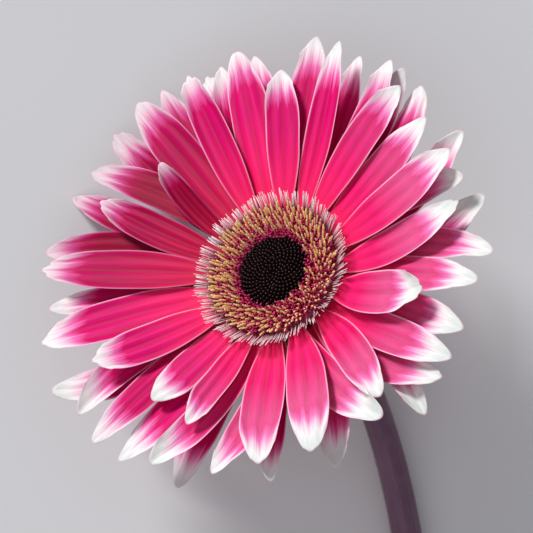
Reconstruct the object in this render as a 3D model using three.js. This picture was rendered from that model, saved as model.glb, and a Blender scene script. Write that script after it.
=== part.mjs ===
// A cut gerbera lying on a flat surface: a bent stem, a green involucre, a dark disc, a ring of
// trans florets, and three whorls of ray florets. Millimetres and degrees, +Z up. The stem lies
// along -Y, and the face looks up and to one side, held off the surface by its lowest rays.
import * as THREE from 'three';
import { mergeVertices } from 'three/addons/utils/BufferGeometryUtils.js';

// How the head is held.
const FACE_ELEVATION = 48; // the face's axis above the surface
const FACE_HEADING = 140; // the face's axis seen from above, from +X towards +Y
const LOW_SIDE = 132; // azimuth on the face that points down to the surface

const GAP = 0.35; // left between pieces that touch

// Disc and trans florets. Heights are along the face's axis, above the head plane.
const DISC_RADIUS = 8.5;
const DISC_CROWN = 7.2; // height of the disc's middle
const DISC_FALL = 2; // from the disc's middle down to its edge
const RING_RADIUS = 19.6; // over the leaning tips of the trans florets
const RING_CREST = 7.8;
const RING_LIP = 1.1; // thickness of the ring's overhanging edge

// Involucre.
const SEAT_RADIUS = 14.5; // where the ray florets' claws start
const FLOOR_DROP = 3.4; // the receptacle's upper face, below the head plane
const CUP_RIM = 16.4;
const CUP_DEPTH = 20.5; // from the head plane to the stem
const CUP_FOOT = 4.2;

// Ray florets. Each level is a shallow cone, so rays on different levels never cross.
const CLAW_HALF = 1.6;
const RAY_THICKNESS = 0.5;
const TOP_LEVEL = 2.6; // height of the uppermost claws
const LEVEL_STEP = 0.85;
const TOP_PITCH = 11;
const PITCH_STEP = 1.8;
const RAY_DROOP = 1.5; // how far a ray bends down from its cone by the reference reach
const REFERENCE_REACH = 60;
const AZIMUTH_TURN = -14; // turns the listed azimuths about the face's axis
const SEAT_PASSES = 8; // more passes space the claws more evenly

// Stem.
const NECK_RADIUS = 3.7; // under the head
const LYING_RADIUS = 4.0; // where it first lies on the surface
const FOOT_RADIUS = 4.2; // at the cut
const NECK_CLEARANCE = 1.8; // the bend's upper handle ends this far above the lying height
const NECK_RUN = 34; // along -Y between the bend's two handles
const NECK_SIDE = 3.9; // along +X between the bend's two handles
const LYING_HANDLE = 20;
const LYING_LENGTH = 228; // the straight stretch
const STEM_STEP = 7; // between the stem's cross-sections
const STEM_SIDES = 16;

// The whorls, front to back. A ray is [azimuth, reach, width], and a fourth value is extra lift
// at its tip. Sag shifts a whorl's tips towards the low side.
const WHORLS = [
  {
    name: 'front',
    sag: 0,
    rays: [
      [342, 41, 12.5, 3], [11, 48, 10.4], [25, 51, 11], [39, 51, 10], [50, 53, 10],
      [73, 60, 10], [87, 52, 10], [99, 60, 11.5], [112, 59, 10], [126, 63, 11.5],
      [132, 43, 8.5, 6], [151, 53, 10], [172, 61, 11.5], [189, 62, 11.5], [201, 49, 10.5],
      [223, 42, 10], [240, 42, 10, 3], [266, 48, 11.5], [283, 49, 11.5], [307, 45, 12],
    ],
  },
  {
    name: 'middle',
    sag: 2,
    rays: [
      [347, 54, 11.5], [355, 56, 10], [16, 52, 10], [58, 59, 10], [78, 61, 10], [104, 60, 10],
      [145, 60, 10], [166, 64, 10], [181, 59, 8.5], [209, 59, 11.5], [220, 59, 10], [227, 58, 10],
      [237, 54, 10], [253, 51, 11.5], [305, 51, 10], [322, 54, 10], [327, 54, 11.5], [335, 53, 10],
    ],
  },
  {
    name: 'back',
    sag: 4,
    rays: [
      [12, 55, 10], [29, 57, 10], [48, 58, 10], [53, 59, 10], [67, 59, 10], [80, 58, 10],
      [96, 62, 10], [108, 60, 10], [119, 64, 10], [134, 63, 11.5], [151, 65, 10], [161, 51, 10],
      [184, 60, 10], [201, 62, 10], [244, 56, 10], [271, 53, 10], [288, 54, 10], [313, 57, 10],
    ],
  },
];

const rad = THREE.MathUtils.degToRad;
const onFace = (azimuth, radius) =>
  new THREE.Vector2(Math.cos(rad(azimuth)), Math.sin(rad(azimuth))).multiplyScalar(radius);

function piece(name, geometry, color, roughness) {
  const mesh = new THREE.Mesh(
    geometry,
    new THREE.MeshStandardMaterial({ color, roughness, metalness: 0 }),
  );
  mesh.name = name;
  return mesh;
}

// A closed solid through rings that turn counter-clockwise about the way they advance. Each end
// closes on one point.
function loft(rings, start, end) {
  const sides = rings[0].length;
  const points = [start, ...rings.flat(), end];
  const at = (ring, side) => 1 + ring * sides + (side % sides);
  const faces = [];
  for (let side = 0; side < sides; side += 1) {
    faces.push(0, at(0, side + 1), at(0, side));
    for (let ring = 0; ring + 1 < rings.length; ring += 1) {
      faces.push(at(ring, side), at(ring, side + 1), at(ring + 1, side));
      faces.push(at(ring, side + 1), at(ring + 1, side + 1), at(ring + 1, side));
    }
    const last = rings.length - 1;
    faces.push(points.length - 1, at(last, side), at(last, side + 1));
  }
  const geometry = new THREE.BufferGeometry().setFromPoints(points);
  geometry.setIndex(faces);
  geometry.computeVertexNormals();
  return geometry;
}

// A solid of revolution about the face's axis, from [radius, height] pairs.
function turned(outline) {
  const profile = outline.map(([radius, height]) => new THREE.Vector2(radius, height));
  const geometry = new THREE.LatheGeometry(profile, 40);
  geometry.rotateX(Math.PI / 2);
  geometry.deleteAttribute('normal');
  geometry.deleteAttribute('uv');
  const closed = mergeVertices(geometry, 1e-4);
  closed.computeVertexNormals();
  return closed;
}

function levelHeight(level, radius, lift) {
  const out = radius - SEAT_RADIUS;
  const share = out / (REFERENCE_REACH - SEAT_RADIUS);
  const pitch = rad(TOP_PITCH - PITCH_STEP * level);
  const seat = TOP_LEVEL - LEVEL_STEP * level;
  return seat + out * Math.tan(pitch) + (lift - RAY_DROOP) * share * Math.abs(share);
}

// Half the width of a ray, from its claw (0) to its tip (1): it opens over its first half, and
// closes over the rest from where CLOSING starts.
const CLOSING = 0.62;
function halfWidth(along, width) {
  const opening = Math.sin((Math.PI / 2) * Math.min(1, along / 0.5));
  const closing = Math.max(0, (along - CLOSING) / (1 - CLOSING));
  const blade = CLAW_HALF + (width / 2 - CLAW_HALF) * opening;
  return blade * (1 - closing ** 2.2) ** 0.7;
}

function rayGeometry(seatAzimuth, tip, width, level, lift) {
  const seat = onFace(seatAzimuth, SEAT_RADIUS);
  const swing = onFace(seatAzimuth, SEAT_RADIUS + seat.distanceTo(tip) / 2);
  const midrib = new THREE.QuadraticBezierCurve(seat, swing, tip);
  const raised = (plan, up) =>
    new THREE.Vector3(plan.x, plan.y, levelHeight(level, plan.length(), lift) + up);
  const rings = [0, 0.1, 0.22, 0.36, 0.5, 0.64, 0.76, 0.86, 0.94].map((along) => {
    const middle = midrib.getPoint(along);
    const tangent = midrib.getTangent(along);
    const side = new THREE.Vector2(-tangent.y, tangent.x);
    side.multiplyScalar(halfWidth(along, width));
    return [
      raised(middle.clone().add(side), 0),
      raised(middle, RAY_THICKNESS / 2),
      raised(middle.clone().sub(side), 0),
      raised(middle, -RAY_THICKNESS / 2),
    ];
  });
  return loft(rings, raised(seat, 0), raised(tip, 0));
}

// Claws sit more evenly round the receptacle than the tips do.
function seatAzimuths(tips) {
  let seats = tips;
  for (let pass = 0; pass < SEAT_PASSES; pass += 1) {
    seats = seats.map((own, index) => {
      const last = seats.length - 1;
      const before = index === 0 ? seats[last] - 360 : seats[index - 1];
      const after = index === last ? seats[0] + 360 : seats[index + 1];
      return (before + 2 * own + after) / 4;
    });
  }
  return seats;
}

// Neighbours in a whorl alternate between its upper and lower level.
function whorlPieces({ name, sag, rays }, whorlIndex) {
  const sorted = rays
    .map(([azimuth, ...rest]) => [((azimuth + AZIMUTH_TURN + 720) % 360), ...rest])
    .sort((one, other) => one[0] - other[0]);
  const seats = seatAzimuths(sorted.map(([azimuth]) => azimuth));
  return sorted.map(([azimuth, reach, width, lift = 0], index) => {
    const level = 2 * whorlIndex + (index % 2);
    const tip = onFace(azimuth, reach).add(onFace(LOW_SIDE, sag));
    const number = String(index + 1).padStart(2, '0');
    const geometry = rayGeometry(seats[index], tip, width, level, lift);
    return piece(`ray_${name}_${number}`, geometry, 0xc4184f, 0.55);
  });
}

function discFlorets() {
  const floor = -FLOOR_DROP + GAP;
  return piece('disc_florets', turned([
    [0, floor], [DISC_RADIUS, floor], [DISC_RADIUS, DISC_CROWN - DISC_FALL],
    [DISC_RADIUS * 0.8, DISC_CROWN - DISC_FALL * 0.45],
    [DISC_RADIUS * 0.45, DISC_CROWN - DISC_FALL * 0.1],
    [0, DISC_CROWN],
  ]), 0x1c0a10, 0.7);
}

function transFloretRing() {
  const inner = DISC_RADIUS + GAP;
  const wall = SEAT_RADIUS - GAP;
  const floor = -FLOOR_DROP + GAP;
  const mostLift = Math.max(...WHORLS.flatMap(({ rays }) => rays.map((ray) => ray[3] ?? 0)));
  const overRays = levelHeight(0, RING_RADIUS, mostLift) + RAY_THICKNESS / 2 + GAP;
  return piece('trans_floret_ring', turned([
    [inner, floor], [wall, floor], [wall, overRays], [RING_RADIUS, overRays],
    [RING_RADIUS, overRays + RING_LIP], [(inner + wall) / 2, RING_CREST],
    [inner, DISC_CROWN - DISC_FALL * 0.6], [inner, floor],
  ]), 0x8c2040, 0.7);
}

function involucre() {
  const lowestLevel = 2 * WHORLS.length - 1;
  const underRays = levelHeight(lowestLevel, SEAT_RADIUS, 0) - RAY_THICKNESS / 2 - GAP;
  const rim = Math.min(-FLOOR_DROP, underRays);
  return piece('involucre', turned([
    [0, -CUP_DEPTH], [CUP_FOOT, -CUP_DEPTH], [CUP_FOOT * 2, -CUP_DEPTH * 0.84],
    [CUP_RIM * 0.78, -CUP_DEPTH * 0.58], [CUP_RIM * 0.95, -CUP_DEPTH * 0.36],
    [CUP_RIM, rim], [0, rim],
  ]), 0x5f7a3a, 0.7);
}

// From the involucre's foot the neck bends down to the surface, and the rest lies along -Y.
function stem(headCentre, axis) {
  const foot = headCentre.clone().addScaledVector(axis, -(CUP_DEPTH + GAP));
  const handle = (foot.z - LYING_RADIUS - NECK_CLEARANCE) / axis.z;
  const upper = foot.clone().addScaledVector(axis, -handle);
  const lower = new THREE.Vector3(upper.x + NECK_SIDE, upper.y - NECK_RUN, LYING_RADIUS);
  const touch = lower.clone().add(new THREE.Vector3(0, -LYING_HANDLE, 0));
  const cut = new THREE.Vector3(touch.x, touch.y - LYING_LENGTH, FOOT_RADIUS);
  const neck = new THREE.CubicBezierCurve3(foot, upper, lower, touch);
  const route = new THREE.CurvePath();
  route.add(neck);
  route.add(new THREE.LineCurve3(touch, cut));
  const total = route.getLength();
  const neckShare = neck.getLength() / total;
  const radiusAt = (along) => (along < neckShare
    ? THREE.MathUtils.mapLinear(along, 0, neckShare, NECK_RADIUS, LYING_RADIUS)
    : THREE.MathUtils.mapLinear(along, neckShare, 1, LYING_RADIUS, FOOT_RADIUS));
  const stations = Math.round(total / STEM_STEP);
  const frames = route.computeFrenetFrames(stations, false);
  const rings = [];
  for (let station = 0; station <= stations; station += 1) {
    const along = station / stations;
    const middle = route.getPointAt(along);
    const ring = [];
    for (let side = 0; side < STEM_SIDES; side += 1) {
      const turn = (2 * Math.PI * side) / STEM_SIDES;
      ring.push(middle.clone()
        .addScaledVector(frames.normals[station], radiusAt(along) * Math.cos(turn))
        .addScaledVector(frames.binormals[station], radiusAt(along) * Math.sin(turn)));
    }
    rings.push(ring);
  }
  return piece('stem', loft(rings, foot, cut), 0x6b4a5e, 0.6);
}

// The face's axis, and the azimuth zero: +X laid onto the face.
const axis = new THREE.Vector3(
  Math.cos(rad(FACE_ELEVATION)) * Math.cos(rad(FACE_HEADING)),
  Math.cos(rad(FACE_ELEVATION)) * Math.sin(rad(FACE_HEADING)),
  Math.sin(rad(FACE_ELEVATION)),
);
const zero = new THREE.Vector3(1, 0, 0).projectOnPlane(axis).normalize();
const quarter = new THREE.Vector3().crossVectors(axis, zero);

const head = new THREE.Group();
head.quaternion.setFromRotationMatrix(new THREE.Matrix4().makeBasis(zero, quarter, axis));
head.add(discFlorets(), transFloretRing(), involucre());
WHORLS.forEach((whorl, index) => head.add(...whorlPieces(whorl, index)));

// The head hangs at the height that puts its lowest ray on the surface.
head.updateMatrixWorld(true);
head.position.z = -new THREE.Box3().setFromObject(head, true).min.z;

const group = new THREE.Group();
group.add(head, stem(head.position, axis));
group.updateMatrixWorld(true);
const box = new THREE.Box3().setFromObject(group, true);
const middle = box.getCenter(new THREE.Vector3());
group.position.set(-middle.x, -middle.y, -box.min.z);

export default group;
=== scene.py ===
"""Cut gerbera: ray florets, disc, trans florets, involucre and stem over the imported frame."""
import functools
import math

import bpy
import numpy as np
from mathutils import Matrix, Vector


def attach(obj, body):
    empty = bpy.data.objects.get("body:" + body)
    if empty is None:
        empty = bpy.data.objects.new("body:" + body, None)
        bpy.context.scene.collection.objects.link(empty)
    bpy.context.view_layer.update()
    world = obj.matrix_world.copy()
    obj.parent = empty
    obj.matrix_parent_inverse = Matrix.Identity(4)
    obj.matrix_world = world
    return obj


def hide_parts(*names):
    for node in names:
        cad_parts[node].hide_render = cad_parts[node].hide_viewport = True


bl_info = {
    "name": "Cut gerbera",
    "version": (1, 0, 0),
    "blender": (4, 5, 0),
    "location": "View3D > Sidebar > Gerbera",
    "description": "Builds a cut gerbera that lies on a surface",
    "category": "Add Mesh",
}

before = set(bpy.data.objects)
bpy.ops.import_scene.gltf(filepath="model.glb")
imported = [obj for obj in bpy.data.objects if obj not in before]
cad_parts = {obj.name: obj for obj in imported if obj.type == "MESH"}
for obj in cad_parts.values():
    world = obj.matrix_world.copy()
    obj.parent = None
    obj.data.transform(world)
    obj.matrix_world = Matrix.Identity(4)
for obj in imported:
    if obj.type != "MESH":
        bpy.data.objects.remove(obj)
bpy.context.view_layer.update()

MM = 0.001
TURN = 2 * math.pi
GOLDEN_ANGLE = math.pi * (3 - math.sqrt(5))
# A spiral's step as a share of the space between its florets.
SPIRAL_STEP = 0.56
# The radius that closes a turned body at its axis, in millimetres.
CENTRE = 0.01


# ---- number helpers

def linear(hex_colour):
    """An sRGB hex colour as linear RGBA."""
    channels = [int(hex_colour[i:i + 2], 16) / 255 for i in (1, 3, 5)]
    return tuple(c / 12.92 if c <= 0.04045 else ((c + 0.055) / 1.055) ** 2.4 for c in channels) + (1.0,)


def unit(vectors):
    """Vectors of length one."""
    vectors = np.asarray(vectors, float)
    return vectors / np.linalg.norm(vectors, axis=-1, keepdims=True)


def smooth(low, high, x):
    """0 below low, 1 above high, and an easy curve between."""
    share = np.clip((np.asarray(x, float) - low) / (high - low), 0, 1)
    return share * share * (3 - 2 * share)


def bump_at(x, middle, width):
    """A rounded bump, 1 high at its middle."""
    return np.exp(-((x - middle) / width) ** 2)


def curve_through(places, values, at):
    """Values on a smooth curve that passes through the given ones."""
    slopes = np.gradient(values, places, axis=0)
    span = np.clip(np.searchsorted(places, at) - 1, 0, len(places) - 2)
    step = places[span + 1] - places[span]
    s = (at - places[span]) / step
    if values.ndim > 1:
        s, step = s[..., None], step[..., None]
    return ((2 * s**3 - 3 * s**2 + 1) * values[span] + (s**3 - 2 * s**2 + s) * step * slopes[span]
            + (3 * s**2 - 2 * s**3) * values[span + 1] + (s**3 - s**2) * step * slopes[span + 1])


def polar(radius, turn, height):
    """A point in the head's own frame."""
    return np.array([radius * math.cos(turn), radius * math.sin(turn), height])


def spokes(across, up, turn):
    """Directions round each point of a path, from two that are square to it."""
    return across[:, None] * np.cos(turn)[None, :, None] + up[:, None] * np.sin(turn)[None, :, None]


# ---- the head's own frame

def node_points(node):
    """A CAD node's separate vertices in the row frame, in millimetres."""
    points = np.array([v.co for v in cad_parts[node].data.vertices], float) / MM
    return np.unique(points.round(3), axis=0)


def head_frame():
    """The head's three directions as rows, and the point where its axis meets the receptacle."""
    ring = node_points("trans_floret_ring")
    middle = ring.mean(0)
    _, directions = np.linalg.eigh(np.cov((ring - middle).T))
    axis = directions[:, 0] * np.sign(directions[2, 0])
    zero = unit(np.array([1.0, 0.0, 0.0]) - axis[0] * axis)
    lowest = ((ring - middle) @ axis).min()
    return np.array([zero, np.cross(axis, zero), axis]), middle + axis * lowest


HEAD_AXES, HEAD_ORIGIN = head_frame()


def to_head(points):
    """Row millimetres to the head's millimetres, where height counts from the ring's lowest point."""
    return (np.asarray(points) - HEAD_ORIGIN) @ HEAD_AXES.T


def from_head(points):
    """The head's millimetres to row metres."""
    return (np.asarray(points) @ HEAD_AXES + HEAD_ORIGIN) * MM


def from_row(points):
    """Row millimetres to row metres."""
    return np.asarray(points) * MM


def reach_and_top(node):
    """The largest radius and the highest point of a node about the head's axis."""
    points = to_head(node_points(node))
    return np.hypot(points[:, 0], points[:, 1]).max(), points[:, 2].max()


def ray_stations(node):
    """A ray's places from 0 to 1, midrib, half widths and sideways directions, and its length."""
    points = to_head(node_points(node))
    plan = points[:, :2]
    apart = np.linalg.norm(plan[:, None] - plan[None], axis=2)
    middles, stacked = [], set()
    for i in range(len(points)):
        stack = np.flatnonzero(apart[i] < 0.02)
        if i not in stacked and len(stack) > 1:
            stacked.update(stack.tolist())
            heights = points[stack, 2]
            middles.append([*plan[stack].mean(0), (heights.min() + heights.max()) / 2])
    middles = np.array(sorted(middles, key=lambda m: math.hypot(m[0], m[1])))
    single = [i for i in range(len(points)) if i not in stacked]
    rim, widths = plan[single], []
    for middle in middles:
        miss = np.linalg.norm((2 * middle[:2] - rim)[:, None] - rim[None], axis=2)
        np.fill_diagonal(miss, np.inf)
        one, other = np.unravel_index(miss.argmin(), miss.shape)
        widths.append(np.linalg.norm(rim[one] - rim[other]) / 2)
    tip = points[max(single, key=lambda i: np.linalg.norm(plan[i] - middles[0, :2]))]
    midrib = np.vstack([middles, tip])
    steps = np.linalg.norm(np.diff(midrib, axis=0), axis=1)
    places = np.concatenate([[0], np.cumsum(steps)]) / steps.sum()
    tangents = np.gradient(midrib[:, :2], axis=0)
    sideways = unit(np.stack([-tangents[:, 1], tangents[:, 0], np.zeros(len(tangents))], 1))
    return places, midrib, np.array(widths), sideways, steps.sum()


DISC_RADIUS, DISC_TOP = reach_and_top("disc_florets")
RING_RADIUS, _ = reach_and_top("trans_floret_ring")
RAYS = {name: ray_stations(name) for name in sorted(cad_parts) if name.startswith("ray_")}
SEATS = np.array([stations[1][0] for stations in RAYS.values()])
SEAT_RADIUS = np.hypot(SEATS[:, 0], SEATS[:, 1]).min()
SEAT_TOP = SEATS[:, 2].max()


# ---- mesh helper

class Heap:
    """Vertices, faces and per-vertex values that become one mesh."""

    def __init__(self):
        self.points, self.faces, self.values, self.count = [], [], [], 0

    def rings(self, rings, values, joined=False):
        """Adds a closed body from equal rings, capped at its ends or joined end to end."""
        rings = np.asarray(rings, float)
        total, sides = rings.shape[:2]
        faces = []
        for i in range(total if joined else total - 1):
            one, other = i * sides, (i + 1) % total * sides
            faces += [(one + j, one + (j + 1) % sides, other + (j + 1) % sides, other + j)
                      for j in range(sides)]
        if not joined:
            # A cap is a row of strips across its ring, which also closes a thin, curved edge cleanly.
            cap = [tuple(dict.fromkeys((i, i + 1, sides - i - 1, (sides - i) % sides)))
                   for i in range(sides // 2)]
            faces += [face[::-1] for face in cap]
            faces += [tuple((total - 1) * sides + i for i in face) for face in cap]
        self.points.append(rings.reshape(-1, 3))
        self.values.append(np.asarray(values, float))
        self.faces += [tuple(self.count + i for i in face) for face in faces]
        self.count += total * sides

    def strand(self, path, radii, sides, own, flat=1.0):
        """A closed round strand along a path. Its values are (0 to 1 along, own, 0 to 1 around)."""
        path = np.asarray(path, float)
        tangents = unit(np.gradient(path, axis=0))
        across = unit(np.cross(tangents, [0.31, 0.87, 0.38]))
        up = np.cross(tangents, across)
        turn = np.arange(sides) * TURN / sides
        along = np.repeat(np.linspace(0, 1, len(path)), sides)
        around = np.tile(turn / TURN, len(path))
        radii = np.asarray(radii, float)[:, None, None]
        self.rings(path[:, None] + spokes(across, flat * up, turn) * radii,
                   np.stack([along, np.full(len(along), own), around], 1))

    def turned(self, outline, values, joined=False, steps=72):
        """A body of revolution about the head's axis, from (radius, height) pairs upwards."""
        rings = [[polar(radius, i * TURN / steps, height) for i in range(steps)]
                 for radius, height in outline]
        self.rings(rings, [values] * (len(outline) * steps), joined)

    def build(self, name, material, slot, nodes=(), placed=from_head):
        """Makes the object in row metres, riding on the flower's one body."""
        mesh = bpy.data.meshes.new(name)
        mesh.from_pydata(placed(np.concatenate(self.points)).tolist(), [], self.faces)
        grown = mesh.attributes.new("grown", "FLOAT_VECTOR", "POINT")
        grown.data.foreach_set("vector", np.concatenate(self.values).ravel())
        mesh.shade_smooth()
        mesh.materials.append(material)
        piece = bpy.data.objects.new(name, mesh)
        bpy.context.collection.objects.link(piece)
        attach(piece, "root")
        if nodes:
            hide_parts(*nodes)
        return piece


# ---- material helpers

# Settings that many nodes share: a Mix node that mixes colours, a Map Range node with soft ends,
# and the two commonest sums.
MIXED = {"out": 2, "data_type": "RGBA"}
EASED = {"interpolation_type": "SMOOTHSTEP"}
TIMES = {"operation": "MULTIPLY"}
TIMES_ADD = {"operation": "MULTIPLY_ADD"}


def add_node(tree, kind, inputs=(), out=0, stops=None, **settings):
    """Adds a node with its settings, links and constant inputs, and returns one output or all.

    The inputs are a dict by socket, or a row that fills the sockets from the first.
    """
    node = tree.nodes.new("ShaderNode" + kind)
    for key, value in settings.items():
        setattr(node, key, value)
    for key, value in inputs.items() if isinstance(inputs, dict) else enumerate(inputs):
        if isinstance(value, bpy.types.NodeSocket):
            tree.links.new(value, node.inputs[key])
        else:
            node.inputs[key].default_value = value
    if stops:
        elements = node.color_ramp.elements
        for _ in stops[2:]:
            elements.new(0.5)
        for element, (place, colour) in zip(elements, stops):
            element.position = place
            element.color = colour
    return node.outputs if out is None else node.outputs[out]


def finished(name, paint, carried=("grown",)):
    """A material whose paint function gives its colour, its normal or None, and its constants.

    The function gets the node maker, and then for each attribute that the mesh carries its three
    values and the whole vector.
    """
    material = bpy.data.materials.new(name)
    material.use_nodes = True
    tree = material.node_tree
    shader = tree.nodes["Principled BSDF"]
    node = functools.partial(add_node, tree)
    values = []
    for attribute in carried:
        vector = node("Attribute", out="Vector", attribute_name=attribute)
        values += [*node("SeparateXYZ", [vector], out=None), vector]
    colour, normal, constants = paint(node, *values)
    if isinstance(colour, bpy.types.NodeSocket):
        tree.links.new(colour, shader.inputs["Base Color"])
    else:
        shader.inputs["Base Color"].default_value = colour
    if normal:
        tree.links.new(normal, shader.inputs["Normal"])
    for key, value in constants.items():
        shader.inputs[key].default_value = value
    return material


# ---- materials

def petal_epidermis(look):
    """Ray floret: one layer of domed cells, in lengthwise rows over soft wet tissue.

    It reads as satin: saturated pink-red with painted shade in the channels, turns magenta and then breaks
    into white in streaks, with a thin clear margin partly brightened by a painted highlight, a duller back,
    a painted highlight on raised petals and painted shade on the low and back ones.
    """
    def paint(node, across, along, own, grown, margin, under, relief, _):
        # Cell rows are 0.03 mm apart, too fine to show, so these are about 1 mm and 0.4 mm apart.
        coarse_rows = node("VectorMath", [grown, (5.5, 3.0, 60.0)], **TIMES)
        fine_rows = node("VectorMath", [grown, (14.0, 5.0, 31.0)], **TIMES)
        streak = node("TexNoise", {"Vector": coarse_rows, "Scale": 1.0, "Detail": 4.0, "Roughness": 0.6})
        fine = node("TexNoise", {"Vector": fine_rows, "Scale": 1.0, "Detail": 3.0, "Roughness": 0.6})
        reach = along
        for uneven, amount in ((streak, 0.15), (fine, 0.07), (relief, 0.02), (own, 0.09)):
            reach = node("Math", [uneven, amount, reach], **TIMES_ADD)
        # Those terms come to 0.155 on average, which leaves the place along the petal.
        reach = node("Math", [reach, 0.155], operation="SUBTRACT")
        colour = node("ValToRGB", [reach], stops=[
            (0.0, look.base_colour), (0.28, look.petal_colour), (0.58, look.band_colour),
            (0.73, look.band_colour), (0.80, look.blush_colour), (0.86, look.tip_shade_colour),
            (0.92, look.tip_colour), (1.0, look.tip_end_colour)])
        # Painted shade: the channels between the folds are darkened, less so towards the white tip.
        channel_shade = node("MapRange", [relief, 0.15, -0.9, 0.0, 0.44], **EASED)
        coloured = node("MapRange", [reach, 0.66, 0.88, 1.0, 0.0])
        channel_shade = node("Math", [channel_shade, coloured], **TIMES)
        colour = node("Mix", {0: channel_shade, 6: colour, 7: look.channel_shade_colour}, **MIXED)
        vein = node("MapRange", [fine, 0.35, 0.65, 0.90, 1.04])
        colour = node("VectorMath", {0: colour, 3: vein}, operation="SCALE")
        # The clear margin: partly the thin edge's own paler colour, partly a painted highlight on edges
        # that turn up to the light.
        pale = node("MapRange", [margin, 0.10, 0.46, 0.80, 0.0], **EASED)
        opened = node("MapRange", [along, 0.10, 0.62, 0.35, 1.0])
        pale = node("Math", [pale, opened], **TIMES)
        behind = node("Math", [under, 0.55], **TIMES)
        # Below 0 the shade attribute is a painted highlight: a pale pink on the raised petals, growing
        # outwards and gone in the white tip.
        shade = node("Attribute", out="Fac", attribute_name="shade")
        highlight = node("MapRange", [shade, 0.0, -1.0, 0.0, 0.44])
        outward = node("MapRange", [reach, 0.36, 0.84])
        highlight = node("Math", [highlight, outward], **TIMES)
        highlight = node("Math", [highlight, coloured], **TIMES)
        for cover, tint in ((pale, look.margin_highlight_colour), (behind, look.back_colour),
                            (highlight, look.highlight_colour)):
            colour = node("Mix", {0: cover, 6: colour, 7: tint}, **MIXED)
        tinted = node("MapRange", {0: coloured, 3: 0.35, 4: 1.0})
        shade = node("Math", [shade, tinted], **TIMES)
        # Painted shade: the shade attribute multiplies the colour deeper, less so in the white tip.
        colour = node("Mix", {0: shade, 6: colour, 7: look.painted_shade_colour}, **MIXED, blend_type="MULTIPLY")
        raised = node("Math", [streak, 0.8, fine], **TIMES_ADD)
        normal = node("Bump", {"Height": raised, "Strength": 0.13, "Distance": 0.0004})
        return colour, normal, {"Roughness": 0.5, "IOR": 1.40, "Subsurface Weight": 0.10,
                                "Subsurface Radius": (1.0, 0.25, 0.35), "Subsurface Scale": 0.0012,
                                "Specular IOR Level": 0.14}
    return finished("petal epidermis", paint, ("grown", "edge"))


def bud_wax(look):
    """Unopened disc floret: a waxy maroon bud, nearly black, with a dry pale dot at its tip."""
    def paint(node, along, own, *_):
        colour = node("Mix", {0: own, 6: look.bud_colour, 7: look.bud_shade_colour}, **MIXED)
        dot = node("MapRange", [along, 0.74, 0.92], **EASED)
        dried = node("Math", [own, 0.5, 0.5], **TIMES_ADD)
        dot = node("Math", [dot, dried], **TIMES)
        colour = node("Mix", {0: dot, 6: colour, 7: look.bud_tip_colour}, **MIXED)
        return colour, None, {"Roughness": 0.5, "IOR": 1.42, "Specular IOR Level": 0.3}
    return finished("disc bud wax", paint)


def floret_corolla(look):
    """Trans floret corolla: a thin, damp tube, burgundy below and magenta at its lobes."""
    def paint(node, along, own, *_):
        colour = node("ValToRGB", [along], stops=[
            (0.0, look.tube_colour), (0.45, look.tube_colour), (0.9, look.lobe_colour)])
        dull = node("Math", [own, 0.4], **TIMES)
        colour = node("Mix", {0: dull, 6: colour, 7: look.tube_colour}, **MIXED)
        return colour, None, {"Roughness": 0.36, "IOR": 1.42}
    return finished("floret corolla", paint)


def anther_pollen(look):
    """Anther tube: five anthers joined side by side and dusted with pollen, ochre and matt."""
    def paint(node, along, own, around, _):
        place = node("CombineXYZ", [around, along, own])
        place = node("VectorMath", [place, (5.0, 9.0, 90.0)], **TIMES)
        # Grains are 0.03 mm, too fine to show, so the dust lies in clumps of about 0.3 mm.
        dust = node("TexNoise", {"Vector": place, "Scale": 1.3, "Detail": 3.0})
        colour = node("ValToRGB", [along], stops=[
            (0.0, look.anther_base_colour), (0.14, look.anther_colour), (0.7, look.anther_colour),
            (1.0, look.anther_tip_colour)])
        worn = node("MapRange", [dust, 0.42, 0.70, 0.0, 0.20])
        colour = node("Mix", {0: worn, 6: colour, 7: look.anther_base_colour}, **MIXED)
        normal = node("Bump", {"Height": dust, "Strength": 0.3, "Distance": 0.0001})
        return colour, normal, {"Roughness": 0.7, "IOR": 1.4}
    return finished("anther pollen", paint)


def style_thread(look):
    """Style and pappus threads: thin, dry and half clear, lilac-white on rosy feet."""
    def paint(node, along, own, *_):
        colour = node("ValToRGB", [along], stops=[
            (0.0, look.style_foot_colour), (0.35, look.style_colour), (1.0, look.style_tip_colour)])
        rosy = node("MapRange", [own, 0.5, 1.0, 0.0, 0.6])
        colour = node("Mix", {0: rosy, 6: colour, 7: look.style_foot_colour}, **MIXED)
        return colour, None, {"Roughness": 0.4, "IOR": 1.45}
    return finished("style thread", paint)


def bract_cuticle(look):
    """Involucre bract: a leathery green scale with fine ribs, soft down and a dull red tip."""
    def paint(node, along, own, across, _):
        place = node("NewGeometry", out="Position")
        mottle = node("TexNoise", {"Vector": place, "Scale": 420.0, "Detail": 4.0})
        # Painted shade at the foot, where the row below covers it; the mottling's darker green is the
        # bract's own.
        colour = node("ValToRGB", [along], stops=[
            (0.0, look.bract_shade_colour), (0.4, look.bract_colour), (0.8, look.bract_colour),
            (1.0, look.bract_tip_colour)])
        deep = node("Math", [own, 0.3], **TIMES)
        deep = node("Math", [mottle, 0.25, deep], **TIMES_ADD)
        colour = node("Mix", {0: deep, 6: colour, 7: look.bract_shade_colour}, **MIXED)
        rib = node("Math", [across, 22.0], **TIMES)
        rib = node("Math", [rib], operation="SINE")
        rib = node("Math", [rib, 0.3, mottle], **TIMES_ADD)
        normal = node("Bump", {"Height": rib, "Strength": 0.4, "Distance": 0.0003})
        return colour, normal, {"Roughness": 0.6, "IOR": 1.42, "Sheen Weight": 0.15}
    return finished("bract cuticle", paint)


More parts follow.
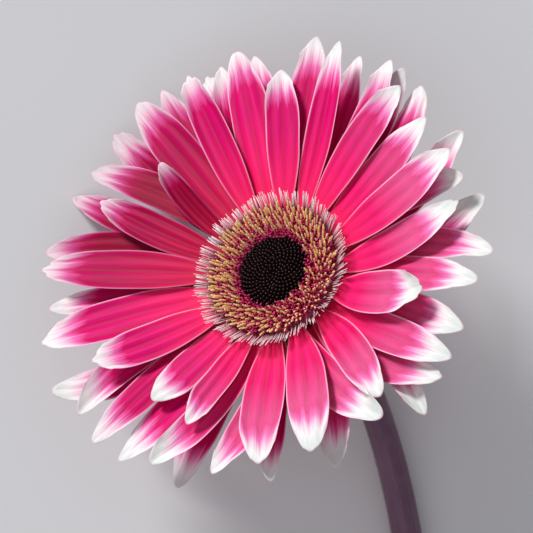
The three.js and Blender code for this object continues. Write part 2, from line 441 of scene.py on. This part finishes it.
def stem_cuticle(look):
    """Gerbera scape: a finely ribbed, downy stalk, mauve-brown under the head and green below."""
    def paint(node, along, own, around, _):
        place = node("NewGeometry", out="Position")
        # Fibres run lengthwise about 0.5 mm apart round a stalk 8 mm thick.
        fibres = node("CombineXYZ", [around, along])
        fibres = node("VectorMath", [fibres, (48.0, 55.0, 0.0)], **TIMES)
        fibre = node("TexNoise", {"Vector": fibres, "Scale": 1.0, "Detail": 3.0})
        mottle = node("TexNoise", {"Vector": place, "Scale": 130.0, "Detail": 3.0})
        colour = node("ValToRGB", [along], stops=[
            (0.0, look.stem_colour), (0.34, look.stem_colour), (0.62, look.stem_low_colour)])
        groove = node("MapRange", [fibre, 0.35, 0.7, 0.0, 0.4])
        colour = node("Mix", {0: groove, 6: colour, 7: look.stem_shade_colour}, **MIXED)
        patch = node("MapRange", [mottle, 0.45, 0.75, 0.0, 0.35])
        colour = node("Mix", {0: patch, 6: colour, 7: look.stem_light_colour}, **MIXED)
        normal = node("Bump", {"Height": fibre, "Strength": 0.35, "Distance": 0.0004})
        return colour, normal, {"Roughness": 0.5, "IOR": 1.42, "Sheen Weight": 0.25,
                                "Sheen Roughness": 0.5}
    return finished("stem cuticle", paint)


def cut_pith(look):
    """The stem's cut: wet pale pith with open pores inside a green rind."""
    def paint(node, radius, *_):
        place = node("NewGeometry", out="Position")
        pores = node("TexNoise", {"Vector": place, "Scale": 1600.0, "Detail": 2.0})
        colour = node("ValToRGB", [radius], stops=[
            (0.0, look.pith_colour), (0.74, look.pith_colour), (0.88, look.stem_low_colour)])
        wet = node("MapRange", [pores, 0.45, 0.62, 0.0, 0.4])
        colour = node("Mix", {0: wet, 6: colour, 7: look.stem_low_colour}, **MIXED)
        normal = node("Bump", {"Height": pores, "Strength": 0.4, "Distance": 0.0002})
        return colour, normal, {"Roughness": 0.3, "IOR": 1.36}
    return finished("cut pith", paint)


def stem_hair(look):
    """Stem down: fine dry hairs that catch the light along the stalk's edge."""
    def paint(node, along, own, *_):
        dry = node("Math", [along, own], **TIMES)
        colour = node("Mix", {0: dry, 6: look.stem_colour, 7: look.hair_colour}, **MIXED)
        return colour, None, {"Roughness": 0.6, "IOR": 1.5}
    return finished("stem down", paint)


def paper_sweep(look):
    """Background paper: pale and matt, with a faint tooth."""
    def paint(node):
        place = node("NewGeometry", out="Position")
        tooth = node("TexNoise", {"Vector": place, "Scale": 900.0, "Detail": 2.0})
        worn = node("Math", [tooth, 0.05], **TIMES)
        colour = node("Mix", {0: worn, 6: look.floor_colour, 7: look.floor_shade_colour}, **MIXED)
        normal = node("Bump", {"Height": tooth, "Strength": 0.05, "Distance": 0.0002})
        return colour, normal, {"Roughness": 0.9}
    return finished("background paper", paint, ())


# ---- ray floret shape

def petal_habit(rng, whorl):
    """How one petal grew. Sizes are in millimetres, and places are shares of its half width."""
    folded = rng.uniform() < 0.22
    # Painted shade: the back whorl, under the petals in front, gets the most.
    shaded = {"front": (0, 0.10), "middle": (0, 0.35), "back": (0.1, 0.8)}[whorl]
    return {
        "slim": rng.uniform(0.72, 0.84) if folded else rng.uniform(0.82, 0.94),
        "camber": rng.uniform(0.45, 1.15) if rng.uniform() < 0.7 else rng.uniform(-0.6, 0.1),
        "ridge": rng.uniform(0.6, 1.25),
        "fold": rng.uniform(0.8, 1.6) if folded else 0.0,
        "cup": rng.uniform(0.0, 0.8),
        "hook": rng.uniform(-0.9, 1.3),
        "twist": rng.uniform(-0.9, 0.9),
        "wave": rng.uniform(0.05, 0.22),
        "phase": rng.uniform(0, TURN),
        "shoulder": rng.uniform(0.11, 0.17),
        "point": rng.uniform(1.5, 2.4),
        "notch": rng.choice([0.0, 0.010, 0.022], p=[0.62, 0.26, 0.12]),
        "own": rng.uniform(),
        "shade": rng.uniform(*shaded),
    }


def petal_relief(across, along, habit, look):
    """A petal's height over its flat blade, and its lengthwise folds from -1 to 1."""
    grown = smooth(0.04, 0.30, along)
    folds = -np.cos(3 * math.pi * across) * (1 - 0.35 * across**2) * grown
    height = look.fold_depth / MM * habit["ridge"] * folds * (1 - 0.7 * smooth(0.72, 1.0, along))
    height += habit["camber"] * (across**2 - 0.33) * grown * (0.3 + 0.7 * along)
    height += habit["fold"] * (np.sqrt(across**2 + 0.01) - 0.5) * grown * (0.35 + 0.65 * along)
    height += habit["cup"] * across**2 * smooth(0.70, 1.0, along)
    height -= habit["hook"] * smooth(0.68, 1.0, along) ** 2
    height += habit["twist"] * across * smooth(0.2, 1.0, along)
    ripple = np.sin(15 * along + 2 * habit["phase"] + 2 * across) * across * np.abs(across)
    return height + habit["wave"] * ripple * smooth(0.15, 0.5, along), folds


def petal_heap(node, rng, look):
    """A petal's heap, its (margin, underside, relief) values, and its painted shade, a painted highlight
    below 0.
    """
    places, midrib, widths, sideways, length = RAYS[node]
    habit = petal_habit(rng, node.split("_")[1])
    facing = unit(SEATS[list(RAYS).index(node), :2]) @ HEAD_AXES[:2, 2]
    young = facing < -0.3 and length < look.young_length / MM
    if young:
        # A young petal also gets a set amount of painted shade.
        habit.update(slim=0.66, camber=0.9, fold=1.5, hook=-0.5, notch=0.0, shade=0.45)
    along = np.linspace(0, 1, look.petal_steps)[:, None]
    across = np.sin(np.linspace(-1, 1, look.petal_strips) * math.pi / 2)[None, :]
    # The side lines end before the midrib does, which rounds the tip into a pointed oval.
    bow = habit["shoulder"] * np.abs(across) ** habit["point"]
    teeth = habit["notch"] * (bump_at(across, -0.34, 0.13) + bump_at(across, 0.30, 0.11))
    reach = along - bow * along**4 - teeth * along**14
    half = curve_through(places[:-1], widths * habit["slim"], np.minimum(reach, 0.86))
    height, folds = petal_relief(across, along, habit, look)
    sides = unit(curve_through(places, sideways, reach))
    surface = curve_through(places, midrib, reach) + (across * half)[..., None] * sides
    surface[..., 2] += height
    # A petal that would pass through the floor lies on it instead.
    above_floor = from_head(surface)[..., 2] / MM - look.petal_thickness / MM
    surface += np.maximum(0, -above_floor)[..., None] * HEAD_AXES[:, 2]

    thin = (1 - np.abs(across) ** 5) ** 0.5 * (1 - 0.55 * along)
    thin *= (1 - smooth(0.90, 1.0, along) ** 2) ** 0.5
    half_thick = look.petal_thickness / MM * (thin + 0.04) / 2
    upper, lower = surface.copy(), surface.copy()
    upper[..., 2] += half_thick
    lower[..., 2] -= half_thick
    lower[:, [0, -1]] = upper[:, [0, -1]]

    def looped(over, beneath):
        """A ring's values: underneath from one edge to the other, and back over the top."""
        return np.concatenate([beneath[:, :-1], over[:, :0:-1]], axis=1)

    def both(values):
        """The same value above and below."""
        spread = np.broadcast_to(values, surface.shape[:2])
        return looped(spread, spread).ravel()

    over = np.zeros(surface.shape[:2])
    margin = np.minimum((1 - np.abs(across)) * half, (1 - along) * length * 0.9 + 0.06)
    # Petals on the flower's raised side whiten earlier and get a painted highlight, and its lowest get
    # painted shade.
    whitened = reach * (0.90 if young else 1 + 0.07 * facing)
    whitened += 0.11 * np.abs(across) ** 3 * smooth(0.40, 0.90, along)
    heap = Heap()
    heap.rings(looped(upper, lower),
               np.stack([both(across), both(whitened), both(habit["own"])], 1))
    edge = np.stack([both(margin), looped(over, over + 1).ravel(), both(folds)], 1)
    # Painted shade above 0, by whorl and deeper on the low side where the light grazes; below 0 a painted
    # highlight on the raised side.
    shade = habit["shade"] + 0.75 * smooth(0.50, 0.67, -facing) - 0.8 * smooth(-0.25, 0.5, facing)
    return heap, edge, min(1, shade)


# ---- settings

def swatch(name, description, value):
    """A colour setting from an sRGB hex value."""
    return bpy.props.FloatVectorProperty(name=name, description=description, subtype="COLOR", size=4,
                                         min=0, max=1, default=linear(value))


def millimetres(name, description, value):
    """A length setting from millimetres."""
    return bpy.props.FloatProperty(name=name, description=description, default=value * MM, min=0,
                                   subtype="DISTANCE", unit="LENGTH", precision=5)


def whole(name, description, value, least=0):
    """A whole-number setting."""
    return bpy.props.IntProperty(name=name, description=description, default=value, min=least)


def strength(name, description, value):
    """A light's strength in watts per square metre."""
    return bpy.props.FloatProperty(name=name, description=description, default=value, min=0)


class GerberaRays(bpy.types.PropertyGroup):
    """The ray florets."""

    petal_steps: whole("Steps", "Cross-sections along a petal", 48, 8)
    petal_strips: whole("Strips", "Points across a petal", 25, 5)
    petal_thickness: millimetres("Thickness", "A petal at its middle", 0.42)
    young_length: millimetres("Young", "Shorter petals on the low side are narrow and folded", 34.0)
    fold_depth: millimetres("Folds", "Height of a petal's lengthwise folds", 0.20)
    seed: whole("Seed", "Changes how each petal grew", 11)
    base_colour: swatch("Base", "Coral pink near the disc", "#fb1c58")
    petal_colour: swatch("Petal", "The petal's middle", "#f81a6e")
    band_colour: swatch("Band", "The deeper band before the tip", "#dc006e")
    # Painted shade for the channels between the folds.
    channel_shade_colour: swatch("Channel", "Between the folds", "#ae0040")
    blush_colour: swatch("Blush", "Where magenta fades", "#f06fb4")
    tip_shade_colour: swatch("Tip blush", "The tip's first white", "#f4cbdc")
    tip_colour: swatch("Tip", "The white tip", "#f2edec")
    tip_end_colour: swatch("Tip end", "A faint green-grey at the very end", "#dadeda")
    # Painted highlight on the raised side's petals.
    highlight_colour: swatch("Highlight", "Pale bloom on the raised petals", "#fcb0d8")
    # Partly the margin's own paler colour, partly a painted highlight on its edges.
    margin_highlight_colour: swatch("Margin", "The clear margin", "#ffc4dc")
    back_colour: swatch("Back", "The petal's back", "#d26a94")
    # Painted shade: multiplies the back whorl and the low side deeper.
    painted_shade_colour: swatch("Painted shade", "Multiplies the older petals and the low ones", "#b04888")


class GerberaCentre(bpy.types.PropertyGroup):
    """The disc and the trans florets."""

    bud_spacing: millimetres("Bud spacing", "Between the disc's buds", 0.86)
    floret_spacing: millimetres("Floret spacing", "Between the trans florets", 0.99)
    anther_length: millimetres("Anther length", "An anther tube", 3.0)
    anther_radius: millimetres("Anther radius", "An anther tube", 0.225)
    style_length: millimetres("Thread length", "The outer threads", 4.9)
    style_radius: millimetres("Thread radius", "The outer threads", 0.11)
    bundles: whole("Bundles", "Bundles of outer threads", 80)
    seed: whole("Seed", "Changes the florets' places", 5)
    bud_colour: swatch("Bud", "Near-black maroon", "#14060a")
    bud_shade_colour: swatch("Bud shade", "Some buds are redder", "#260a13")
    bud_tip_colour: swatch("Bud tip", "The dry dot on a bud", "#755a56")
    tube_colour: swatch("Tube", "A floret's tube", "#9c1044")
    lobe_colour: swatch("Lobe", "A floret's lobes", "#ff4a90")
    anther_colour: swatch("Anther", "Ochre", "#ffe094")
    anther_base_colour: swatch("Anther base", "Where the tube leaves the floret", "#cf8450")
    anther_tip_colour: swatch("Anther tip", "Pale pollen", "#fff0c4")
    style_colour: swatch("Thread", "Lilac-white", "#e6bcc8")
    style_foot_colour: swatch("Thread foot", "Rosy", "#963460")
    style_tip_colour: swatch("Thread tip", "Bright ends", "#fff2f2")


class GerberaGreen(bpy.types.PropertyGroup):
    """The involucre and the stem."""

    bract_rows: whole("Bract rows", "Rows of bracts on the involucre", 4, 1)
    bracts_in_row: whole("Bracts", "Bracts in a row", 17, 5)
    rib_count: whole("Ribs", "Ribs round the stem", 11, 3)
    rib_depth: millimetres("Rib depth", "Depth of the stem's ribs", 0.11)
    hair_count: whole("Hairs", "Downy hairs on the stem", 2600)
    seed: whole("Seed", "Changes the bracts' and hairs' places", 3)
    bract_colour: swatch("Bract", "Green bracts", "#7c9850")
    # Painted shade at the bracts' covered feet, and the darker green of their mottling.
    bract_shade_colour: swatch("Bract shade", "Darker green", "#3f572a")
    bract_tip_colour: swatch("Bract tip", "Dull red tips", "#7e3c44")
    stem_colour: swatch("Stem", "Mauve-brown under the head", "#74506a")
    stem_shade_colour: swatch("Stem shade", "Between the ribs", "#54364a")
    stem_light_colour: swatch("Stem light", "Paler patches", "#8c6c80")
    stem_low_colour: swatch("Stem foot", "Greener below", "#73804c")
    pith_colour: swatch("Pith", "Inside the cut", "#dde0ba")
    hair_colour: swatch("Hair", "Downy hairs", "#a8949c")


class GerberaStage(bpy.types.PropertyGroup):
    """Floor, lights and camera."""

    camera_distance: millimetres("Camera distance", "From the flower's head", 600)
    lens: bpy.props.FloatProperty(name="Lens", description="Focal length in millimetres", default=170.0,
                                  min=10)
    key_strength: strength("Key", "Main light", 3.0)
    fill_strength: strength("Fill", "Fill light", 0.50)
    room_strength: strength("Room", "Light from all round", 0.30)
    room_colour: swatch("Room colour", "Light from all round", "#e3e6ec")
    floor_colour: swatch("Floor", "Pale paper", "#ebebed")
    floor_shade_colour: swatch("Floor shade", "The paper's tooth", "#dcdde0")


# ---- operators

class GERBERA_OT_rays(bpy.types.Operator):
    """Grows every ray floret over its CAD blade."""

    bl_idname = "gerbera.rays"
    bl_label = "Ray florets"

    def execute(self, context):
        look = context.scene.gerbera_rays
        skin = petal_epidermis(look)
        rng = np.random.default_rng(look.seed)
        for node in RAYS:
            heap, edge, shade = petal_heap(node, rng, look)
            petal = heap.build(node.replace("ray_", "petal_"), skin, "ray_floret", [node])
            attributes = petal.data.attributes
            attributes.new("edge", "FLOAT_VECTOR", "POINT").data.foreach_set("vector", edge.ravel())
            attributes.new("shade", "FLOAT", "POINT").data.foreach_set("value", [shade] * len(edge))
        return {"FINISHED"}


def disc_height(radius):
    """The disc's surface: a low mound with a dimple at its middle."""
    share = np.asarray(radius) / DISC_RADIUS
    return DISC_TOP - 0.6 - 1.9 * share**3 - 1.1 * bump_at(share, 0, 0.32)


class GERBERA_OT_disc(bpy.types.Operator):
    """Packs the disc's unopened buds in spirals over its mound."""

    bl_idname = "gerbera.disc"
    bl_label = "Disc buds"

    bud_root = 1.5
    bud_tall = 1.85
    mound_depth = 1.3
    mound_foot = 0.4

    def execute(self, context):
        look = context.scene.gerbera_centre
        rng = np.random.default_rng(look.seed)
        buds, mound = Heap(), Heap()
        spacing = look.bud_spacing / MM
        total = int((DISC_RADIUS / (spacing * SPIRAL_STEP)) ** 2)
        for k in range(total):
            radius = (DISC_RADIUS - 0.1) * math.sqrt((k + 0.5) / total)
            turn = k * GOLDEN_ANGLE + rng.uniform(-0.06, 0.06) / max(radius, 1)
            share = radius / DISC_RADIUS
            lean = unit(polar(0.10 + 0.30 * share**2, turn, 1))
            foot = polar(radius, turn, disc_height(radius) - self.bud_root)
            tall = self.bud_tall + rng.uniform(-0.14, 0.14) + 0.4 * smooth(0.6, 1.0, share)
            heights = np.array([0, 0.35, 0.62, 0.78, 0.89, 0.95, 1.0]) * tall
            radii = np.array([0.9, 1.0, 0.96, 0.74, 0.42, 0.30, 0.12]) * spacing * 0.50
            buds.strand(foot + heights[:, None] * lean, radii, 8, rng.uniform())
        rim = DISC_RADIUS - 0.2
        outline = [(CENTRE, self.mound_foot), (rim, self.mound_foot)]
        for share in (1, 0.85, 0.65, 0.45, 0.25, 0.12):
            outline.append((rim * share, disc_height(rim * share) - self.mound_depth))
        mound.turned([*outline, (CENTRE, disc_height(0) - self.mound_depth)], (0.1, 0.0, 0.0))
        wax = bud_wax(look)
        buds.build("disc_buds", wax, "disc_florets", ["disc_florets"])
        mound.build("disc_mound", wax, "disc_florets")
        return {"FINISHED"}


class GERBERA_OT_trans(bpy.types.Operator):
    """Grows the trans florets: corollas, ochre anther tubes and the outer threads."""

    bl_idname = "gerbera.trans"
    bl_label = "Trans florets"

    inner = DISC_RADIUS + 0.15
    outer = SEAT_RADIUS + 0.6
    fringe_foot = RING_RADIUS - 3.8
    bare_chance = 0.10
    style_chance = 0.3
    thread_turn = 0.0108
    stray_styles = 9

    def execute(self, context):
        look = context.scene.gerbera_centre
        rng = np.random.default_rng(look.seed + 1)
        tubes, lobes, anthers, threads, base = (Heap() for _ in range(5))
        step = look.floret_spacing / MM * SPIRAL_STEP
        for k in range(int((self.inner / step) ** 2), int((self.outer / step) ** 2)):
            radius = step * math.sqrt(k) + rng.uniform(-0.18, 0.18)
            turn = k * GOLDEN_ANGLE + rng.uniform(-0.02, 0.02)
            self.floret(radius, turn, look, rng, tubes, lobes, anthers, threads)
        self.fringe(threads, look, rng)
        wall = SEAT_RADIUS - 0.4
        base.turned([(self.inner - 0.1, 0.4), (wall, 0.4), (wall, SEAT_TOP + 0.75),
                     (self.fringe_foot + 0.5, SEAT_TOP + 1.15), (self.fringe_foot + 0.3, SEAT_TOP + 1.6),
                     (self.inner + 3, SEAT_TOP + 1.5), (self.inner - 0.1, SEAT_TOP + 1.3)],
                    (0.1, 0.7, 0.0), joined=True)
        corolla = floret_corolla(look)
        tubes.build("trans_tubes", corolla, "trans_floret_ring", ["trans_floret_ring"])
        lobes.build("trans_lobes", corolla, "trans_floret_ring")
        anthers.build("trans_anthers", anther_pollen(look), "trans_floret_ring")
        threads.build("trans_threads", style_thread(look), "trans_floret_ring")
        base.build("trans_base", corolla, "trans_floret_ring")
        return {"FINISHED"}

    def floret(self, radius, turn, look, rng, tubes, lobes, anthers, threads):
        """One floret: a tube with three curled lobes, and in most of them an anther tube."""
        share = (radius - self.inner) / (self.outer - self.inner)
        outward, around = polar(1, turn, 0), polar(1, turn + TURN / 4, 0)
        lean = math.radians(4 + 30 * share + rng.uniform(-6, 6))
        tilt = unit(outward * math.sin(lean) + [0, 0, math.cos(lean)] + around * rng.uniform(-0.12, 0.12))
        foot = polar(radius - 0.6 * share, turn, SEAT_TOP + 0.2 + 0.9 * share)
        rise = 2.3 - 0.4 * share + rng.uniform(-0.4, 0.4)
        mouth = foot + tilt * rise
        own = rng.uniform()
        tubes.strand([foot, foot + tilt * rise * 0.6, mouth], [0.25, 0.28, 0.36], 7, own)
        for lobe in range(3):
            away = own * TURN + lobe * TURN / 3
            spread = outward * math.cos(away) + around * math.sin(away)
            curl = mouth + np.array([[0, 0], [0.45, 0.26], [0.62, 0.58], [0.44, 0.88]]) @ [tilt, spread]
            lobes.strand(curl, [0.18, 0.31, 0.28, 0.08], 6, own, flat=0.6)
        if share < 0.02 + rng.uniform(0, 0.14) or rng.uniform() < self.bare_chance:
            return
        reach = look.anther_length / MM * rng.uniform(0.75, 1.1)
        bend = unit(tilt + outward * 0.10 * share)
        stretch = np.array([0.0, 0.22, 0.5, 0.78, 0.93, 1.0]) * reach
        path = mouth - tilt * 0.3 + stretch[:, None] * bend
        thick = look.anther_radius / MM * rng.uniform(0.82, 1.12)
        anthers.strand(path, np.array([0.66, 0.9, 1.0, 0.96, 0.74, 0.34]) * thick, 8, own)
        if rng.uniform() < self.style_chance:
            curled = path[-1] + np.array([[0, 0], [0.5, 0.02], [0.9, 0.16]]) @ [bend, around]
            threads.strand(curled, [0.08, 0.07, 0.03], 5, rng.uniform())

    def fringe(self, heap, look, rng):
        """The outermost threads: parallel in small bundles that lean out over the petals."""
        for bundle in range(look.bundles):
            middle = (bundle + rng.uniform(-0.22, 0.22)) * TURN / look.bundles
            lean = math.radians(rng.uniform(36, 50))
            swing = rng.normal(0, 0.06)
            tall = rng.uniform(0.85, 1.05)
            for place in (-2, -1, 0, 1, 2, 3):
                turn = middle + place * self.thread_turn
                outward, around = polar(1, turn, 0), polar(1, turn + TURN / 4, 0)
                own_lean = lean + rng.normal(0, 0.035)
                tilt = unit(outward * math.sin(own_lean) + [0, 0, math.cos(own_lean)]
                            + around * (swing + rng.normal(0, 0.02)))
                foot_radius = self.fringe_foot + rng.uniform(-0.4, 0.8)
                foot = polar(foot_radius, turn, SEAT_TOP + rng.uniform(1.3, 1.8))
                reach = look.style_length / MM * tall * rng.uniform(0.88, 1.05)
                path = foot + np.array([[0, 0], [0.5, 0], [1.0, 0.03]]) * reach @ [tilt, outward]
                radii = np.array([1.0, 0.85, 0.6]) * look.style_radius / MM
                heap.strand(path, radii, 5, rng.uniform())
        for _ in range(self.stray_styles):
            turn, height = rng.uniform(0, TURN), SEAT_TOP + rng.uniform(3.4, 4.2)
            arc = np.linspace(0, 1, 9)
            curl = [polar(self.fringe_foot - 1.2 + 2.4 * math.sin(2.6 * s), turn + 0.11 * s,
                          height + 1.1 * math.sin(3 * s)) for s in arc]
            heap.strand(curl, 0.11 - 0.06 * arc, 6, 1.0)


class GERBERA_OT_involucre(bpy.types.Operator):
    """Grows the green cup and the bracts that shingle it."""

    bl_idname = "gerbera.involucre"
    bl_label = "Involucre"

    def execute(self, context):
        look = context.scene.gerbera_green
        points = to_head(node_points("involucre"))
        radius = np.hypot(points[:, 0], points[:, 1])
        heights = np.unique(points[:, 2].round(2))
        widest = np.array([radius[np.abs(points[:, 2] - h) < 0.05].max() for h in heights])
        rows = np.linspace(heights[0], heights[-1], 24)
        cup, bracts = Heap(), Heap()
        inside = np.interp(rows, heights, widest) - 0.35
        cup.turned([(CENTRE, rows[0]), *zip(inside, rows), (CENTRE, rows[-1])], (0.3, 0.4, 0.0))
        skin = bract_cuticle(look)
        cup.build("involucre_cup", skin, "involucre", ["involucre"])
        rng = np.random.default_rng(look.seed)
        tall = heights[-1] - heights[0]
        for row in range(look.bract_rows):
            low = heights[0] + tall * (0.05 + 0.19 * row)
            for k in range(look.bracts_in_row):
                turn = (k + 0.5 * (row % 2) + rng.uniform(-0.12, 0.12)) * TURN / look.bracts_in_row
                self.bract(bracts, heights, widest, low, tall * 0.36 + rng.uniform(-0.8, 0.8), turn,
                           rng.uniform(), look.bracts_in_row)
        bracts.build("involucre_bracts", skin, "involucre")
        return {"FINISHED"}

    def bract(self, heap, heights, widest, low, tall, turn, own, in_row):
        """One lance-shaped scale that follows the cup, thicker at its midrib."""
        across = np.linspace(-1, 1, 7)
        rings, values = [], []
        for share in np.linspace(0, 1, 11):
            height = min(low + tall * share, heights[-1] - 0.3)
            reach = max(np.interp(height, heights, widest), 4.5)
            half = 0.62 * TURN / in_row * (0.75 + 0.5 * share) * (1 - share**2.2) ** 0.8 + 0.01
            outside = [polar(reach + 0.15 + 0.80 * share - 0.30 * a * a, turn + a * half, height)
                       for a in across]
            inside = [polar(reach - 0.35 + 0.55 * share, turn + a * half, height) for a in across[::-1]]
            rings.append(outside + inside)
            values += [[share, own, a] for a in (*across, *across[::-1])]
        heap.rings(rings, values)


class GERBERA_OT_stem(bpy.types.Operator):
    """Grows the ribbed, downy stem and shows its cut."""

    bl_idname = "gerbera.stem"
    bl_label = "Stem"

    cad_sides = 16
    slices = 180
    hair_clearance = 0.15

    def execute(self, context):
        look = context.scene.gerbera_green
        path, radii = self.centre_line()
        across, up = self.directions(path)
        sides = look.rib_count * 6
        turn = np.arange(sides) * TURN / sides
        ribs = (0.5 - 0.5 * np.cos(look.rib_count * turn)) ** 1.4
        widths = radii[:, None] - look.rib_depth / MM * ribs[None]
        along = np.repeat(np.linspace(0, 1, len(path)), sides)
        skin = Heap()
        skin.rings(path[:, None] + spokes(across, up, turn) * widths[..., None],
                   np.stack([along, along * 0, np.tile(turn / TURN, len(path))], 1))
        skin.build("stem_skin", stem_cuticle(look), "stem", ["stem"], from_row)
        self.cut(path, radii[-1], across[-1], up[-1], look)
        self.down(path, radii, across, up, look)
        return {"FINISHED"}

    def centre_line(self):
        """Even points and radii along the stem, from its CAD sections, head end first."""
        left = node_points("stem")
        guess = left[left[:, 1].argmax()]
        middles, radii = [], []
        while len(left) >= self.cad_sides:
            nearest = np.argsort(np.linalg.norm(left - guess, axis=1))[:self.cad_sides]
            ring = left[nearest]
            middles.append(ring.mean(0))
            radii.append(np.linalg.norm(ring - middles[-1], axis=1).mean())
            left = np.delete(left, nearest, axis=0)
            guess = 2 * middles[-1] - middles[-2] if len(middles) > 1 else middles[-1]
        middles = np.array(middles)
        steps = np.linalg.norm(np.diff(middles, axis=0), axis=1)
        places = np.concatenate([[0], np.cumsum(steps)])
        at = np.linspace(0, places[-1], self.slices)
        return curve_through(places, middles, at), np.interp(at, places, radii)

    def directions(self, path):
        """Two directions square to the stem at each point, carried along without twist."""
        tangents = unit(np.gradient(path, axis=0))
        across = [unit(np.cross(tangents[0], [0, 0, 1.0]))]
        for tangent in tangents[1:]:
            across.append(unit(across[-1] - (across[-1] @ tangent) * tangent))
        across = np.array(across)
        return across, np.cross(tangents, across)

    def cut(self, path, radius, across, up, look):
        """The pith at the cut, a shallow dome just proud of the skin's end."""
        outward = unit(path[-1] - path[-2])
        turn = np.arange(48) * TURN / 48
        rim = spokes(across[None], up[None], turn)[0] * radius * 0.955
        dome = [(1.0, -0.6), (1.0, 0.0), (0.94, 0.05), (0.8, 0.08), (0.6, 0.10), (0.35, 0.11), (0.06, 0.12)]
        heap = Heap()
        heap.rings([path[-1] + rim * share + outward * proud for share, proud in dome],
                   [[share, 0.5, 0] for share, _ in dome for _ in turn])
        heap.build("stem_cut", cut_pith(look), "stem", (), from_row)

    def down(self, path, radii, across, up, look):
        """Short hairs all over the stem, except where it lies on the surface."""
        rng = np.random.default_rng(look.seed + 5)
        heap = Heap()
        for _ in range(look.hair_count):
            i = int(rng.uniform() ** 1.3 * (len(path) - 2))
            turn = rng.uniform(0, TURN)
            outward = math.cos(turn) * across[i] + math.sin(turn) * up[i]
            foot = path[i] + (path[i + 1] - path[i]) * rng.uniform() + outward * (radii[i] - 0.12)
            tip = foot + outward * rng.uniform(0.30, 0.60) + [rng.normal(0, 0.12), rng.normal(0, 0.22), 0]
            if min(foot[2], tip[2]) > self.hair_clearance:
                middle = (foot + tip) / 2 + outward * 0.05
                heap.strand([foot, middle, tip], [0.028, 0.022, 0.008], 4, rng.uniform())
        heap.build("stem_down", stem_hair(look), "stem", (), from_row)


def camera_directions():
    """The camera's right, up and backward directions: over the flower, a little to its left."""
    back = Vector((-0.191, 0.007, 0.98)).normalized()
    up = Vector((0.129, 0.99, 0.02))
    up = (up - up.dot(back) * back).normalized()
    return up.cross(back), up, back


class GERBERA_OT_stage(bpy.types.Operator):
    """Sets the pale floor, the soft lights and the camera."""

    bl_idname = "gerbera.stage"
    bl_label = "Stage"

    floor_side = 40
    aim_height = 3.05
    aside = 3.7
    above = 2.8

    def execute(self, context):
        look = context.scene.gerbera_stage
        scene = context.scene
        bpy.ops.mesh.primitive_plane_add(size=self.floor_side)
        floor = context.object
        floor.name = "floor"
        floor.data.materials.append(paper_sweep(look))
        right, up, back = camera_directions()
        head = Vector(from_head([0, 0, self.aim_height]))
        camera = bpy.data.objects.new("camera", bpy.data.cameras.new("camera"))
        scene.collection.objects.link(camera)
        camera.data.lens = look.lens
        camera.data.clip_start = 0.01
        camera.data.clip_end = self.floor_side
        camera.matrix_world = Matrix((right, up, back)).transposed().to_4x4()
        camera.location = head + (up * self.above - right * self.aside) * MM + back * look.camera_distance
        scene.camera = camera
        self.lamp("key", -0.56 * right + 0.74 * up + 0.48 * back, 14, look.key_strength)
        self.lamp("fill", -0.28 * right - 0.32 * up + 0.90 * back, 60, look.fill_strength)
        world = bpy.data.worlds.new("studio")
        scene.world = world
        world.use_nodes = True
        background = world.node_tree.nodes["Background"]
        background.inputs[0].default_value = look.room_colour
        background.inputs[1].default_value = look.room_strength
        scene.view_settings.view_transform = "Standard"
        return {"FINISHED"}

    def lamp(self, name, direction, spread, strength):
        """An even, soft light from far away. Its spread is in degrees."""
        lamp = bpy.data.lights.new(name, "SUN")
        lamp.angle = math.radians(spread)
        lamp.energy = strength
        light = bpy.data.objects.new(name, lamp)
        bpy.context.scene.collection.objects.link(light)
        light.rotation_mode = "QUATERNION"
        light.rotation_quaternion = direction.to_track_quat("Z", "Y")


class GERBERA_PT_panel(bpy.types.Panel):
    """Lists each piece's settings and builders."""

    bl_label = "Cut gerbera"
    bl_idname = "GERBERA_PT_panel"
    bl_space_type = "VIEW_3D"
    bl_region_type = "UI"
    bl_category = "Gerbera"

    def draw(self, context):
        for name, group, operators in SECTIONS:
            box = self.layout.box()
            settings = getattr(context.scene, name)
            for key in group.__annotations__:
                box.prop(settings, key)
            for operator in operators:
                box.operator(operator.bl_idname)


SECTIONS = (
    ("gerbera_rays", GerberaRays, (GERBERA_OT_rays,)),
    ("gerbera_centre", GerberaCentre, (GERBERA_OT_disc, GERBERA_OT_trans)),
    ("gerbera_green", GerberaGreen, (GERBERA_OT_involucre, GERBERA_OT_stem)),
    ("gerbera_stage", GerberaStage, (GERBERA_OT_stage,)),
)
CLASSES = [each for _, group, operators in SECTIONS for each in (group, *operators)]
CLASSES.append(GERBERA_PT_panel)


def register():
    """Registers the classes and gives each scene its settings."""
    for each in CLASSES:
        bpy.utils.register_class(each)
    for name, group, _ in SECTIONS:
        setattr(bpy.types.Scene, name, bpy.props.PointerProperty(type=group))


def unregister():
    """Takes the settings and the classes away again."""
    for name, _, _ in SECTIONS:
        delattr(bpy.types.Scene, name)
    for each in reversed(CLASSES):
        bpy.utils.unregister_class(each)


def main():
    """Builds the whole flower."""
    register()
    for _, _, operators in SECTIONS:
        for operator in operators:
            getattr(bpy.ops.gerbera, operator.bl_idname.split(".")[1])()


if __name__ == "__main__":
    main()
